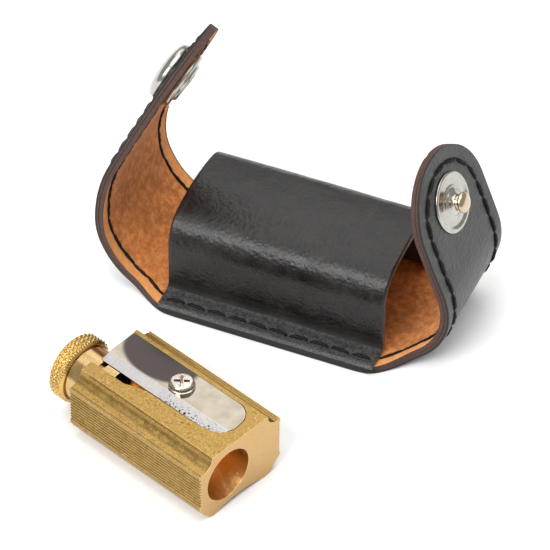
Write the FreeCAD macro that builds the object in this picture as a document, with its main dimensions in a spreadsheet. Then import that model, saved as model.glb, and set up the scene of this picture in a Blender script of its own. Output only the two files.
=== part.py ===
import FreeCAD, Part
import math
import os

from FreeCAD import Placement, Rotation, Vector

# Adjustable brass pencil sharpener lying beside its open leather snap case.
# Millimetres, +Z up. Origin: centre of the case's underside, on the table.
# X runs along the case's sleeve, the sharpener lies on the -Y side.

os.makedirs("parts", exist_ok=True)
doc = FreeCAD.newDocument("sharpener_and_case")
sheet = doc.addObject("Spreadsheet::Sheet", "Dimensions")

DIMENSIONS = {
    # sharpener block, in its own frame: x from the rear face, y across, z up
    "block_length": 24.8, "block_half_width": 7.87, "block_height": 11.1, "top_half_width": 5.4,
    "cove_radius": 1.95, "serration_top": 8.55, "serration_pitch": 0.525, "serration_depth": 0.45,
    "side_bottom_left": 2.84, "side_bottom_right": 2.3, "foot_half_width": 5.2, "belly_rise": 0.8,
    # cutting cone and pencil guide
    "pencil_radius": 4.0, "pencil_y": -2.36, "pencil_front_z": 5.76, "cone_half_angle": 11.0,
    "guide_start_x": 20.6,
    # blade and its screw
    "blade_thick": 0.6, "blade_edge_y": -1.75, "blade_back_y": 4.65, "bevel_width": 1.6,
    "inlay_gap": 0.08, "screw_x": 12.2, "screw_y": 1.7, "screw_radius": 1.0, "screw_length": 4.4,
    "head_radius": 1.88, "head_height": 1.05,
    # point adjuster: knurled knob, barrel with a three-step end, grub screw that keeps it in
    "barrel_y": -1.97, "barrel_z": 6.22, "barrel_radius": 4.19, "bore_radius": 4.24, "bore_depth": 5.4,
    "barrel_reach": 3.8, "barrel_step": 0.95, "knob_gap": 2.7, "knob_width": 2.65, "knob_radius": 4.9,
    "knob_chamfer": 0.3, "spigot_radius": 1.5, "spigot_length": 2.0, "fit_gap": 0.03,
    "groove_x": 1.1, "groove_width": 0.9, "groove_depth": 0.55, "grub_radius": 0.7, "dog_radius": 0.35,
    # leather case
    "leather_thick": 0.7, "lining_thick": 0.5, "strap_half_width": 13.4, "base_half_length": 16.4,
    "mouth_x": 16.4, "bend_start_x": 16.5, "hinge_x": 17.0, "hinge_gap": 1.2,
    "sleeve_thick": 0.95, "flange_thick": 0.9, "sleeve_half_width": 9.7, "sleeve_top_z": 14.85,
    "sleeve_corner_radius": 4.7, "sleeve_crown_radius": 30.0,
    "flap_shift_y": 0.9, "stitch_pitch": 3.15, "stitch_length": 2.0, "stitch_inset": 2.0,
    "thread_width": 0.45, "thread_height": 0.28,
    # right flap: two bends, then straight; it carries the stud
    "right_first_radius": 8.9, "right_first_bend": 44.0, "right_second_radius": 11.0,
    "right_second_bend": 68.0, "right_straight": 16.8, "right_waist": 9.2, "right_tab_half_width": 9.25,
    "right_upper_split": 7.0, "right_tab_split": 17.2, "right_twist": 4.0, "right_snap_offset": 1.4,
    # left flap: carries the cap and the socket
    "left_first_radius": 11.1, "left_first_bend": 88.5, "left_second_radius": 21.1,
    "left_second_bend": 27.0, "left_straight": 22.1, "left_waist": 11.0, "left_tab_half_width": 8.7,
    "left_upper_split": 8.5, "left_tab_split": 19.0, "left_twist": 3.2,
    "left_snap_offset": 0.0,
    # snap fastener
    "snap_radius": 4.38, "stud_base_thick": 0.35, "stud_neck_radius": 1.05, "stud_head_radius": 1.5,
    "stud_height": 2.55, "rivet_radius": 0.9, "rivet_plate_radius": 3.2, "rivet_plate_thick": 0.3,
    "cap_height": 2.1, "cap_tube_radius": 2.2, "socket_height": 1.3, "socket_hole_radius": 1.85,
    "spring_wire_radius": 0.22,
    # where the sharpener lies
    "lie_x": -14.592, "lie_y": -33.356, "lie_turn": -20.22,
}
for row, (alias, value) in enumerate(DIMENSIONS.items(), start=1):
    sheet.set("A%d" % row, alias)
    sheet.set("B%d" % row, str(value))
    sheet.setAlias("B%d" % row, alias)
doc.recompute()


def dim(alias):
    """A driving dimension, read from the sheet."""
    return float(getattr(sheet, alias))


def bind(obj, **links):
    """Bind properties of obj to formulas of the sheet's aliases."""
    for prop, formula in links.items():
        words = formula.split(" ")
        linked = ["Dimensions." + word if word in DIMENSIONS else word for word in words]
        obj.setExpression(prop.replace("__", "."), " ".join(linked))
    return obj


NODES = {}


def node(name, obj, placement=None):
    """Name a finished sub-part; the name is also its file's name."""
    obj.Label = name
    if placement is not None:
        obj.Placement = placement
    NODES[name] = obj
    return obj


def closed_sketch(name, edges, placement):
    """A free sketch holding one closed outline of lines and arcs."""
    sketch = doc.addObject("Sketcher::SketchObject", name)
    sketch.Placement = placement
    sketch.addGeometry(edges, False)
    return sketch


def lines(points, close=True):
    """Line segments through (u, v) points."""
    ring = [Vector(u, v, 0) for u, v in points]
    ends = ring[1:] + ring[:1] if close else ring[1:]
    return [Part.LineSegment(a, b) for a, b in zip(ring, ends)]


def arc3(a, b, c):
    """Arc through three (u, v) points."""
    return Part.Arc(Vector(a[0], a[1], 0), Vector(b[0], b[1], 0), Vector(c[0], c[1], 0))


def extrusion(name, sketch, formula, symmetric=False):
    """Straight extrusion of a sketch along its own normal."""
    solid = doc.addObject("Part::Extrusion", name)
    solid.Base = sketch
    solid.DirMode = "Normal"
    solid.Solid = True
    solid.Symmetric = symmetric
    bind(solid, LengthFwd=formula)
    return solid


def boolean(kind, name, base, tool):
    """Part::Cut, Part::Fuse or Part::Common of two objects."""
    result = doc.addObject("Part::" + kind, name)
    result.Base = base
    result.Tool = tool
    return result


def cylinder(name, placement, radius, height):
    """Part cylinder whose radius and height follow the sheet."""
    solid = doc.addObject("Part::Cylinder", name)
    solid.Placement = placement
    return bind(solid, Radius=radius, Height=height)


def turned(name, edges, placement=Placement()):
    """Solid of revolution about local Z; edges are drawn in (radius, height)."""
    sketch = closed_sketch(name + "_section", edges, Placement(Vector(), Rotation(Vector(1, 0, 0), 90)))
    solid = doc.addObject("Part::Revolution", name)
    solid.Source = sketch
    solid.Axis = Vector(0, 0, 1)
    solid.Base = Vector(0, 0, 0)
    solid.Angle = 360.0
    solid.Solid = True
    solid.Placement = placement
    return solid


def origin_plane(body, role):
    """One of a body's own origin planes."""
    for feature in body.Origin.OriginFeatures:
        if getattr(feature, "Role", "") == role:
            return feature
    raise RuntimeError("no plane " + role)


def body_sketch(body, name, role, edges, offset=Placement()):
    """A sketch on one of the body's origin planes."""
    sketch = body.newObject("Sketcher::SketchObject", name)
    sketch.AttachmentSupport = [(origin_plane(body, role), "")]
    sketch.MapMode = "FlatFace"
    sketch.AttachmentOffset = offset
    sketch.addGeometry(edges, False)
    return sketch


# ---------------------------------------------------------------- sharpener
SHARPENER_PLACE = Placement(Vector(dim("lie_x"), dim("lie_y"), 0), Rotation(Vector(0, 0, 1), dim("lie_turn")))
ALONG_X = Rotation(Vector(0, 1, 0), 90)
ALONG_Y = Rotation(Vector(1, 0, 0), -90)


def serrated_side(sign, bottom_z):
    """Points down one side: shoulder ridge and groove, V teeth, plain lower band."""
    half, height = dim("block_half_width"), dim("block_height")
    shoulder_z = height - dim("cove_radius")
    cove_y = dim("top_half_width") + dim("cove_radius")
    ridge_groove = 0.16
    points = [(cove_y, shoulder_z), ((cove_y + half) / 2, shoulder_z - ridge_groove), (half, shoulder_z)]
    tooth_z = dim("serration_top")
    points.append((half, tooth_z))
    count = int((tooth_z - bottom_z) / dim("serration_pitch"))
    for _ in range(count):
        points.append((half - dim("serration_depth"), tooth_z - dim("serration_pitch") / 2))
        tooth_z -= dim("serration_pitch")
        points.append((half - 0.03, tooth_z))
    points.append((half, bottom_z))
    return [(sign * y, z) for y, z in points]


def block_section():
    """End view of the sharpener block as (y, z) edges."""
    top, height, cove = dim("top_half_width"), dim("block_height"), dim("cove_radius")
    half, foot = dim("block_half_width"), dim("foot_half_width")
    low_left, low_right = dim("side_bottom_left"), dim("side_bottom_right")
    diagonal = cove * math.sqrt(0.5)
    left = serrated_side(-1, low_left)
    right = serrated_side(1, low_right)
    edges = lines([(-top, height), (top, height)], close=False)
    edges.append(arc3((top, height), (top + cove - diagonal, height - diagonal), (top + cove, height - cove)))
    edges += lines(right, close=False)
    edges += lines([(half, low_right), (foot + 0.2, 0), (foot - 0.5, 0)], close=False)
    edges.append(arc3((foot - 0.5, 0), (-0.2, dim("belly_rise")), (-foot + 0.2, 0)))
    edges += lines([(-foot + 0.2, 0), (-foot, 0)], close=False)
    corner = low_left * 0.38
    edges.append(arc3((-foot, 0), (-half + corner, corner), (-half, low_left)))
    edges += lines(left, close=False)
    cove_middle = (-top - cove + diagonal, height - diagonal)
    edges.append(arc3((-top, height), cove_middle, (-top - cove, height - cove)))
    return edges


def blade_outline(grow, open_rear=False):
    """Top view of the blade inlay as (x, y) edges, grown by a gap; its seat runs out of the rear face."""
    edge_y, back_y = dim("blade_edge_y") - grow, dim("blade_back_y") + grow
    rear_edge, rear_back = (-1.0, -1.0) if open_rear else (0.3, 0.1)
    nose_edge, nose_x, nose_back = 20.8, 22.95 + grow, 19.7
    edges = lines([(rear_back, back_y), (rear_edge, edge_y), (nose_edge, edge_y)], close=False)
    edges.append(arc3((nose_edge, edge_y), (22.4 + grow, -0.75 - grow), (nose_x, 1.7)))
    edges.append(arc3((nose_x, 1.7), (22.15 + grow, 3.8 + grow), (nose_back, back_y)))
    edges += lines([(nose_back, back_y), (rear_back, back_y)], close=False)
    return edges


def make_block():
    """Extruded brass block with the blade seat, chip slot, cone and bores cut out."""
    body = doc.addObject("PartDesign::Body", "block_body")
    section = body_sketch(body, "block_section", "YZ_Plane", block_section())
    pad = body.newObject("PartDesign::Pad", "block_pad")
    pad.Profile = section
    bind(pad, Length="block_length")
    doc.recompute()
    volume = pad.Shape.Volume

    top = Placement(Vector(0, 0, dim("block_height")), Rotation())
    seat_edges = blade_outline(dim("inlay_gap"), open_rear=True)
    seat = body_sketch(body, "blade_seat_outline", "XY_Plane", seat_edges, top)
    seat_cut = body.newObject("PartDesign::Pocket", "blade_seat")
    seat_cut.Profile = seat
    bind(seat_cut, Length="blade_thick")

    wall_y, edge_y = -3.4, dim("blade_edge_y") + 0.2
    slot_points = [(-1.0, wall_y), (6.1, wall_y), (7.4, -2.9), (9.5, -2.3), (19.6, -2.2)]
    slot_points += [(19.6, edge_y), (-1.0, edge_y)]
    slot = body_sketch(body, "chip_slot_outline", "XY_Plane", lines(slot_points), top)
    slot_cut = body.newObject("PartDesign::Pocket", "chip_slot")
    slot_cut.Profile = slot
    slot_cut.Length = 2.4
    body.Tip = slot_cut
    doc.recompute()
    assert slot_cut.Shape.Volume < seat_cut.Shape.Volume < volume, "a pocket cut nothing"

    tilt = dim("cone_half_angle")
    front = Vector(dim("block_length"), dim("pencil_y"), dim("pencil_front_z"))
    inward = Rotation(Vector(0, 1, 0), -90 + tilt)
    pencil = dim("pencil_radius")
    run = (dim("block_length") - dim("guide_start_x")) / math.cos(math.radians(tilt))
    apex = run + pencil / math.tan(math.radians(tilt))
    cone_edges = lines([(0, -3), (pencil, -3), (pencil, run), (0, apex)])
    hollow = turned("pencil_hollow", cone_edges, Placement(front, inward))
    bore_place = Placement(Vector(-1, dim("barrel_y"), dim("barrel_z")), ALONG_X)
    screw_place = Placement(Vector(dim("screw_x"), dim("screw_y"), dim("block_height") - 5.2), Rotation())
    grub_start = Vector(dim("groove_x"), dim("barrel_y"), dim("barrel_z"))
    grub_place = Placement(grub_start, ALONG_Y)
    block = body
    tools = [
        hollow,
        cylinder("barrel_bore", bore_place, "bore_radius", "bore_depth + 1"),
        cylinder("screw_hole", screw_place, "screw_radius + fit_gap", "block_height"),
        cylinder("grub_hole", grub_place, "grub_radius + fit_gap", "block_height"),
    ]
    for tool in tools:
        block = boolean("Cut", "block_less_" + tool.Name, block, tool)
    return block


def make_blade():
    """Flat blade with one long ground bevel and a screw hole."""
    edge_y, back_y, bevel = dim("blade_edge_y"), dim("blade_back_y"), dim("bevel_width")
    top_z, low_z = dim("block_height"), dim("block_height") - dim("blade_thick")
    upright = Rotation(Vector(0.5, 0.5, 0.5), 120)
    bar = [(edge_y, low_z), (back_y, low_z), (back_y, top_z), (edge_y + bevel, top_z)]
    section = closed_sketch("blade_section", lines(bar), Placement(Vector(), upright))
    bar_solid = extrusion("blade_bar", section, "block_length")
    outline = closed_sketch("blade_plan", blade_outline(0.0), Placement(Vector(0, 0, low_z - 1), Rotation()))
    plan = extrusion("blade_blank", outline, "blade_thick + 2")
    blank = boolean("Common", "blade_shape", bar_solid, plan)
    hole_place = Placement(Vector(dim("screw_x"), dim("screw_y"), low_z - 1), Rotation())
    hole = cylinder("blade_hole", hole_place, "screw_radius + fit_gap", "blade_thick + 2")
    return boolean("Cut", "blade_solid", blank, hole)


def make_blade_screw():
    """Pan head with a flange rim, cross recess and plain shank."""
    radius, shank, height = dim("head_radius"), dim("screw_radius"), dim("head_height")
    length, dome = dim("screw_length"), radius - 0.5
    profile = [(0, -length), (shank - 0.25, -length), (shank, -length + 0.3), (shank, 0), (radius, 0)]
    profile += [(radius, 0.26), (radius - 0.16, 0.34), (radius - 0.16, 0.62)]
    edges = lines(profile, close=False)
    edges.append(arc3((radius - 0.16, 0.62), (radius - 0.27, height - 0.14), (dome, height - 0.04)))
    edges += lines([(dome, height - 0.04), (0, height), (0, -length)], close=False)
    blank = turned("screw_blank", edges)
    slots = []
    for turn in (0, 90):
        slot = doc.addObject("Part::Wedge", "recess_%d" % turn)
        slot.Xmin, slot.Xmax, slot.X2min, slot.X2max = -1.2, 1.2, -0.35, 0.35
        slot.Zmin, slot.Zmax, slot.Z2min, slot.Z2max = -0.26, 0.26, -0.12, 0.12
        slot.Ymin, slot.Ymax = -0.05, 0.85
        lay = Rotation(Vector(0, 0, 1), turn + 40).multiply(Rotation(Vector(1, 0, 0), -90))
        slot.Placement = Placement(Vector(0, 0, height), lay)
        slots.append(slot)
    cross = boolean("Fuse", "recess_cross", slots[0], slots[1])
    return boolean("Cut", "screw_solid", blank, cross)


def make_barrel():
    """Stop barrel: plain collar, retaining groove and an end cut in three steps."""
    radius, reach, step = dim("barrel_radius"), dim("barrel_reach"), dim("barrel_step")
    rear, low = -dim("knob_gap"), reach - 2 * step
    groove_a = dim("groove_x") - dim("groove_width") / 2
    groove_b = groove_a + dim("groove_width")
    inner = radius - dim("groove_depth")
    chamfer, hole, depth = 0.12, dim("spigot_radius"), dim("spigot_length") + 0.2
    profile = [(hole, rear), (radius - chamfer, rear), (radius, rear + chamfer), (radius, groove_a)]
    profile += [(inner, groove_a), (inner, groove_b), (radius, groove_b), (radius, low), (0, low)]
    profile += [(0, rear + depth), (hole, rear + depth)]
    shape = turned("barrel_turned", lines(profile))
    for index, length in ((0, 2 * step), (1, step)):
        sector = doc.addObject("Part::Cylinder", "stop_step_%d" % index)
        sector.Angle = 120
        start = 30 + 120 * index
        sector.Placement = Placement(Vector(0, 0, low), Rotation(Vector(0, 0, 1), start + 90))
        sector.Height = length
        bind(sector, Radius="barrel_radius")
        shape = boolean("Fuse", "barrel_with_step_%d" % index, shape, sector)
    return shape


def make_knob():
    """Knob rim with chamfered ends and the spigot that seats in the barrel."""
    radius, width, chamfer = dim("knob_radius"), dim("knob_width"), dim("knob_chamfer")
    spigot, length = dim("spigot_radius") - dim("fit_gap"), dim("spigot_length")
    profile = [(0, -width), (radius - chamfer, -width), (radius, -width + chamfer), (radius, -chamfer)]
    profile += [(radius - chamfer, 0), (spigot, 0), (spigot, length), (0, length)]
    return turned("knob_turned", lines(profile))


def make_grub_screw():
    """Grub screw with a dog point that runs in the barrel's groove."""
    radius, dog = dim("grub_radius"), dim("dog_radius")
    tip = dim("barrel_radius") - dim("groove_depth") + 0.1
    seat = dim("bore_radius") + 0.15
    outer = dim("block_half_width") - dim("barrel_y") - dim("serration_depth") - 0.25
    profile = [(0, tip), (dog, tip), (dog, seat), (radius, seat + 0.2), (radius, outer - 0.1)]
    profile += [(radius - 0.1, outer), (0.3, outer), (0.3, outer - 0.6), (0, outer - 0.6)]
    return turned("grub_turned", lines(profile))


ADJUSTER_AXIS = Placement(Vector(0, dim("barrel_y"), dim("barrel_z")), ALONG_X)
KNOB_PLACE = Placement(Vector(-dim("knob_gap"), dim("barrel_y"), dim("barrel_z")), ALONG_X)
GRUB_PLACE = Placement(Vector(dim("groove_x"), dim("barrel_y"), dim("barrel_z")), ALONG_Y)
SCREW_PLACE = Placement(Vector(dim("screw_x"), dim("screw_y"), dim("block_height")), Rotation())

node("sharpener_body", make_block(), SHARPENER_PLACE)
node("blade", make_blade(), SHARPENER_PLACE)
node("blade_screw", make_blade_screw(), SHARPENER_PLACE.multiply(SCREW_PLACE))
node("stop_barrel", make_barrel(), SHARPENER_PLACE.multiply(ADJUSTER_AXIS))
node("adjuster_knob", make_knob(), SHARPENER_PLACE.multiply(KNOB_PLACE))
node("retaining_screw", make_grub_screw(), SHARPENER_PLACE.multiply(GRUB_PLACE))

# ------------------------------------------------------------- case: strap
STRAP_THICK = dim("leather_thick") + dim("lining_thick")
LAYERS = {"leather": (0.0, dim("leather_thick")), "lining": (dim("leather_thick"), STRAP_THICK)}


def smooth(value, low, high):
    """Smooth step from 0 at low to 1 at high."""
    share = min(max((value - low) / (high - low), 0.0), 1.0)
    return share * share * (3 - 2 * share)


class Flap:
    """Side view of one flap: a flat start, two bends and a straight tab, leaning over the sleeve."""

    def __init__(self, side, sign):
        self.side, self.sign = side, sign
        self.radius = (dim(side + "_first_radius"), dim(side + "_second_radius"))
        self.bend = tuple(math.radians(dim(side + name)) for name in ("_first_bend", "_second_bend"))
        first = self.radius[0] * self.bend[0]
        self.stops = (first, first + self.radius[1] * self.bend[1])
        self.length = self.stops[1] + dim(side + "_straight")
        self.tab_half_width = dim(side + "_tab_half_width")
        self.tip_at = self.length - self.tab_half_width
        self.snap_at = self.tip_at + dim(side + "_snap_offset")

    def angle(self, run):
        """Slope of the strap, in radians, after a run along its outer face."""
        if run <= self.stops[0]:
            return max(run, 0.0) / self.radius[0]
        past = min(run, self.stops[1]) - self.stops[0]
        return self.bend[0] + past / self.radius[1]

    def point(self, run, depth=0.0):
        """(x, z) at a run along the outer face and a depth into the strap, for a flap on +X."""
        x, z, start_angle, start = dim("bend_start_x"), 0.0, 0.0, 0.0
        for radius, stop in zip(self.radius, self.stops):
            end = min(max(run, start), stop)
            end_angle = start_angle + (end - start) / radius
            x += radius * (math.sin(end_angle) - math.sin(start_angle))
            z += radius * (math.cos(start_angle) - math.cos(end_angle))
            start_angle, start = end_angle, stop
            if run <= stop:
                break
        extra = run - self.stops[1] if run > self.stops[1] else min(run, 0.0)
        slope = self.angle(run)
        x += extra * math.cos(slope)
        z += extra * math.sin(slope)
        return x - depth * math.sin(slope), z + depth * math.cos(slope)

    def half_width(self, run):
        """Half width of the strap: a quick waist by the sleeve, then a slow taper to the tab."""
        waist, tab = dim(self.side + "_waist"), self.tab_half_width
        narrowed = dim("strap_half_width") + (waist - dim("strap_half_width")) * smooth(run, -2, 6)
        return narrowed + (tab - waist) * smooth(run, 11, self.tip_at - 4)

    def centre_y(self, run):
        """Sideways set of the flap's centre line."""
        return dim("flap_shift_y") * min(max(run / 12, 0.0), 1.0)

    def lean(self, slope):
        """Rotation of a frame that runs up the flap at a slope in radians."""
        if self.sign > 0:
            return Rotation(Vector(0, 1, 0), -math.degrees(slope))
        over = Rotation(Vector(0, 1, 0), -180 + math.degrees(slope))
        return over.multiply(Rotation(Vector(1, 0, 0), 180))

    def frame(self, run, depth):
        """Placement on the flap: local X along the strap, Y across, Z into the lining side."""
        x, z = self.point(run, depth)
        slope = self.angle(run)
        turn = self.lean(slope)
        return Placement(Vector(self.sign * x, self.centre_y(run), z), turn)

    def pivot(self, run):
        """Point in mid-thickness about which the strap folds."""
        x, z = self.point(run, STRAP_THICK / 2)
        return Vector(self.sign * x, self.centre_y(run), z)

    def tab_twist(self):
        """The tab stands slightly turned about a vertical line through its fold."""
        fold = self.pivot(dim(self.side + "_tab_split"))
        turn = Rotation(Vector(0, 0, 1), -dim(self.side + "_twist"))
        return Placement(fold, turn).multiply(Placement(-fold, Rotation()))


def path_edges(flap, start, end, depth):
    """Lines and arcs of the side view from one run to another at a depth."""
    cuts = [start] + [stop for stop in flap.stops if start < stop < end] + [end]
    edges = []
    for a, b in zip(cuts, cuts[1:]):
        ends = [flap.point(run, depth) for run in (a, (a + b) / 2, b)]
        p, q, r = [(flap.sign * x, z) for x, z in ends]
        straight = a >= flap.stops[1] - 1e-9
        edges += lines([p, r], close=False) if straight else [arc3(p, q, r)]
    return edges


def strap_band(name, flap, start, end, layer):
    """The layer's side view, extruded across the strap's full width."""
    near, far = LAYERS[layer]
    outer = path_edges(flap, start, end, near)
    inner = path_edges(flap, start, end, far)
    corners = []
    for run in (start, end):
        for depth in (near, far):
            x, z = flap.point(run, depth)
            corners.append((flap.sign * x, z))
    caps = lines([corners[0], corners[1]], close=False) + lines([corners[2], corners[3]], close=False)
    side_view = Placement(Vector(), Rotation(Vector(1, 0, 0), 90))
    sketch = closed_sketch(name + "_side", outer + inner + caps, side_view)
    return extrusion(name + "_band", sketch, "strap_half_width * 2 + 4", symmetric=True)


def strap_outline(name, flap, start, end, round_tip):
    """The strap's outline, seen square to the chord from start to end, as a cutting prism."""
    x0, z0 = flap.point(start, STRAP_THICK / 2)
    x1, z1 = flap.point(end, STRAP_THICK / 2)
    chord = math.atan2(z1 - z0, x1 - x0)
    along = (math.cos(chord), math.sin(chord))

    def station(run):
        x, z = flap.point(run, STRAP_THICK / 2)
        return (x - x0) * along[0] + (z - z0) * along[1]

    last = flap.tip_at if round_tip else end
    runs = [start + (last - start) * k / 5 for k in range(6)]
    rims = []
    for sign in (-1, 1):
        across = [flap.sign * flap.centre_y(r) + sign * flap.half_width(r) for r in runs]
        points = [Vector(station(r), y, 0) for r, y in zip(runs, across)]
        points[0] = Vector(points[0].x - 3, points[0].y, 0)
        if not round_tip:
            points[-1] = Vector(points[-1].x + 3, points[-1].y, 0)
        curve = Part.BSplineCurve()
        curve.interpolate(points)
        rims.append((curve, points))
    near, far = rims
    edges = [near[0], far[0], Part.LineSegment(near[1][0], far[1][0])]
    if round_tip:
        tip = Vector(station(flap.length), flap.sign * flap.centre_y(end), 0)
        edges.append(Part.Arc(near[1][-1], tip, far[1][-1]))
    else:
        edges.append(Part.LineSegment(near[1][-1], far[1][-1]))
    place = Placement(Vector(flap.sign * x0, 0, z0), flap.lean(chord))
    sketch = closed_sketch(name + "_rim", edges, place)
    return extrusion(name + "_prism", sketch, "strap_half_width * 2", symmetric=True)


def strap_piece(name, flap, start, end, layer, round_tip=False):
    """One layer of one stretch of a flap."""
    band = strap_band(name, flap, start, end, layer)
    prism = strap_outline(name, flap, start, end, round_tip)
    return boolean("Common", name + "_piece", band, prism)


def snap_hole(name, flap, piece, radius):
    """Hole through the tab for the snap's rivet or tube."""
    place = flap.frame(flap.snap_at, -2.0)
    drill = cylinder(name + "_drill", place, radius, "leather_thick + 6")
    return boolean("Cut", name + "_pierced", piece, drill)


TIP_STITCHES = 7
SEAM_START = 2.6


def thread_run(place):
    """One visible run of thread: a short bar lying on the leather."""
    bar = Part.makeBox(dim("stitch_length"), dim("thread_width"), dim("thread_height"))
    bar.translate(Vector(-dim("stitch_length") / 2, -dim("thread_width") / 2, 0))
    bar.Placement = place.multiply(bar.Placement)
    return bar


def both_faces(flap, run, offset_y, turn=0.0):
    """Thread runs on the outer and the lining face at the same hole."""
    lift = 0.1
    bars = []
    for depth, flip in ((-lift, 180), (STRAP_THICK + lift, 0)):
        aside = Placement(Vector(0, offset_y, 0), Rotation(Vector(0, 0, 1), turn))
        place = flap.frame(run, depth).multiply(aside)
        bars.append(thread_run(place.multiply(Placement(Vector(), Rotation(Vector(1, 0, 0), flip)))))
    return bars


def flap_stitches(flap, start, end, around_tip=False):
    """Stitches along both edges of a stretch, and round the tip of the tab."""
    bars = []
    last = flap.tip_at if around_tip else end - 0.1
    count = round((last - start) / dim("stitch_pitch"))
    for k in range(count):
        run = start + (last - start) * (k + 0.5) / count
        inset = flap.half_width(run) - dim("stitch_inset")
        bars += both_faces(flap, run, -inset) + both_faces(flap, run, inset)
    if around_tip:
        radius = flap.tab_half_width - dim("stitch_inset")
        for k in range(TIP_STITCHES):
            angle = math.pi * (k + 0.5) / TIP_STITCHES
            along, across = radius * math.sin(angle), radius * math.cos(angle)
            bars += both_faces(flap, flap.tip_at + along, across, -math.degrees(angle))
    return bars


def thread_node(name, bars, placement=Placement()):
    """A seam's thread as one node of separate short solids."""
    seam = doc.addObject("Part::Feature", name + "_thread")
    seam.Shape = Part.makeCompound(bars)
    node(name, seam, placement)


FLAPS = {"left": Flap("left", -1), "right": Flap("right", 1)}
for side, flap in FLAPS.items():
    gap = dim("hinge_gap") / 2
    hinge_run = dim("hinge_x") - dim("bend_start_x")
    upper, tab = dim(side + "_upper_split"), dim(side + "_tab_split")
    stretches = [("lower", hinge_run + gap, upper - gap), ("upper", upper + gap, tab - gap)]
    for part_name, start, end in stretches:
        for layer in LAYERS:
            name = "%s_%s_%s" % (side, part_name, layer)
            node(name, strap_piece(name, flap, start, end, layer))
        seam = flap_stitches(flap, max(start + 0.1, SEAM_START), end)
        thread_node("%s_%s_stitching" % (side, part_name), seam)
    twist = flap.tab_twist()
    hole_radius = "rivet_radius + fit_gap * 2" if side == "right" else "cap_tube_radius + fit_gap * 2"
    for layer in LAYERS:
        name = "%s_tab_%s" % (side, layer)
        piece = strap_piece(name, flap, tab + gap, flap.length, layer, round_tip=True)
        node(name, snap_hole(name, flap, piece, hole_radius), twist)
    seam = flap_stitches(flap, tab + gap + 0.1, flap.length, around_tip=True)
    thread_node(side + "_tab_stitching", seam, twist)

for layer, (low, high) in LAYERS.items():
    plate = doc.addObject("Part::Box", "base_%s_plate" % layer)
    plate.Placement = Placement(Vector(-dim("base_half_length"), -dim("strap_half_width"), low), Rotation())
    bind(plate, Length="base_half_length * 2", Width="strap_half_width * 2", Height=layer + "_thick")
    node("base_" + layer, plate)


# ------------------------------------------------------------ case: sleeve
def arch(half_width, top_z, shrink):
    """Wall, corner, crown, corner, wall as (y, z) edges, with the ends of the walls."""
    corner = dim("sleeve_corner_radius") - shrink
    crown = dim("sleeve_crown_radius") - shrink
    centre_y = half_width - corner
    crown_z = top_z - crown
    centre_z = crown_z + math.sqrt((crown - corner) ** 2 - centre_y ** 2)
    touch = math.atan2(centre_z - crown_z, centre_y)
    join = (crown * math.cos(touch), crown_z + crown * math.sin(touch))
    middle = (centre_y + corner * math.cos(touch / 2), centre_z + corner * math.sin(touch / 2))
    left = [(-y, z) for y, z in (join, middle)]
    edges = [
        arc3((half_width, centre_z), middle, join),
        arc3(join, (0, top_z), left[0]),
        arc3(left[0], left[1], (-half_width, centre_z)),
    ]
    return edges, centre_z


def make_sleeve():
    """Arched sleeve with a sewn flange along each long side."""
    thick, half, top_z = dim("sleeve_thick"), dim("sleeve_half_width"), dim("sleeve_top_z")
    flange_low = STRAP_THICK
    flange_high = flange_low + dim("flange_thick")
    rim, foot = dim("strap_half_width"), 0.9
    outer, spring_z = arch(half, top_z, 0.0)
    inner, _ = arch(half - thick, top_z - thick, thick)
    edges = outer + inner
    for sign in (-1, 1):
        corner = foot * (1 - math.sqrt(0.5))
        heel = [(sign * half, flange_high + foot), (sign * (half + corner), flange_high + corner)]
        heel.append((sign * (half + foot), flange_high))
        edges += lines([(sign * half, spring_z), heel[0]], close=False)
        edges.append(arc3(*heel))
        outline = [heel[2], (sign * rim, flange_high), (sign * rim, flange_low)]
        outline += [(sign * (half - thick), flange_low), (sign * (half - thick), spring_z)]
        edges += lines(outline, close=False)
    body = doc.addObject("PartDesign::Body", "sleeve_body")
    section = body_sketch(body, "sleeve_section", "YZ_Plane", edges)
    pad = body.newObject("PartDesign::Pad", "sleeve_pad")
    pad.Profile = section
    pad.Midplane = True
    bind(pad, Length="mouth_x * 2")
    return body


node("sleeve", make_sleeve())
flange_top = STRAP_THICK + dim("flange_thick")
seam_y = dim("strap_half_width") - 1.25
for name, sign in (("sleeve_front_stitching", -1), ("sleeve_back_stitching", 1)):
    count = 10
    first_x = -dim("stitch_pitch") * (count - 1) / 2
    runs = [Vector(first_x + k * dim("stitch_pitch"), sign * seam_y, flange_top) for k in range(count)]
    thread_node(name, [thread_run(Placement(spot, Rotation())) for spot in runs])


# --------------------------------------------------------- case: snap pair
def make_stud():
    """Stud: flat rimmed base, neck and rounded head, hollow for the rivet's shank."""
    radius, base, neck = dim("snap_radius"), dim("stud_base_thick"), dim("stud_neck_radius")
    head, height, hollow = dim("stud_head_radius"), dim("stud_height"), dim("rivet_radius") + dim("fit_gap")
    head_half, ledge = 0.62, 0.2
    middle = height - head_half
    profile = [(hollow, 0), (radius - 0.1, 0), (radius, 0.1), (radius, base - 0.1), (radius - 0.1, base)]
    profile += [(radius - 0.75, base), (radius - 0.95, base - ledge + 0.02), (2.3, base - ledge + 0.02)]
    profile += [(1.9, base - 0.05), (neck + 0.4, base + 0.1), (neck, base + 0.45), (neck, middle - 0.45)]
    edges = lines(profile, close=False)
    edges.append(arc3((neck, middle - 0.45), (head, middle), (neck - 0.1, height - 0.1)))
    top = [(neck - 0.1, height - 0.1), (0.5, height), (0, height), (0, 1.3), (hollow, 1.3), (hollow, 0)]
    edges += lines(top, close=False)
    return turned("stud_turned", edges)


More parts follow.
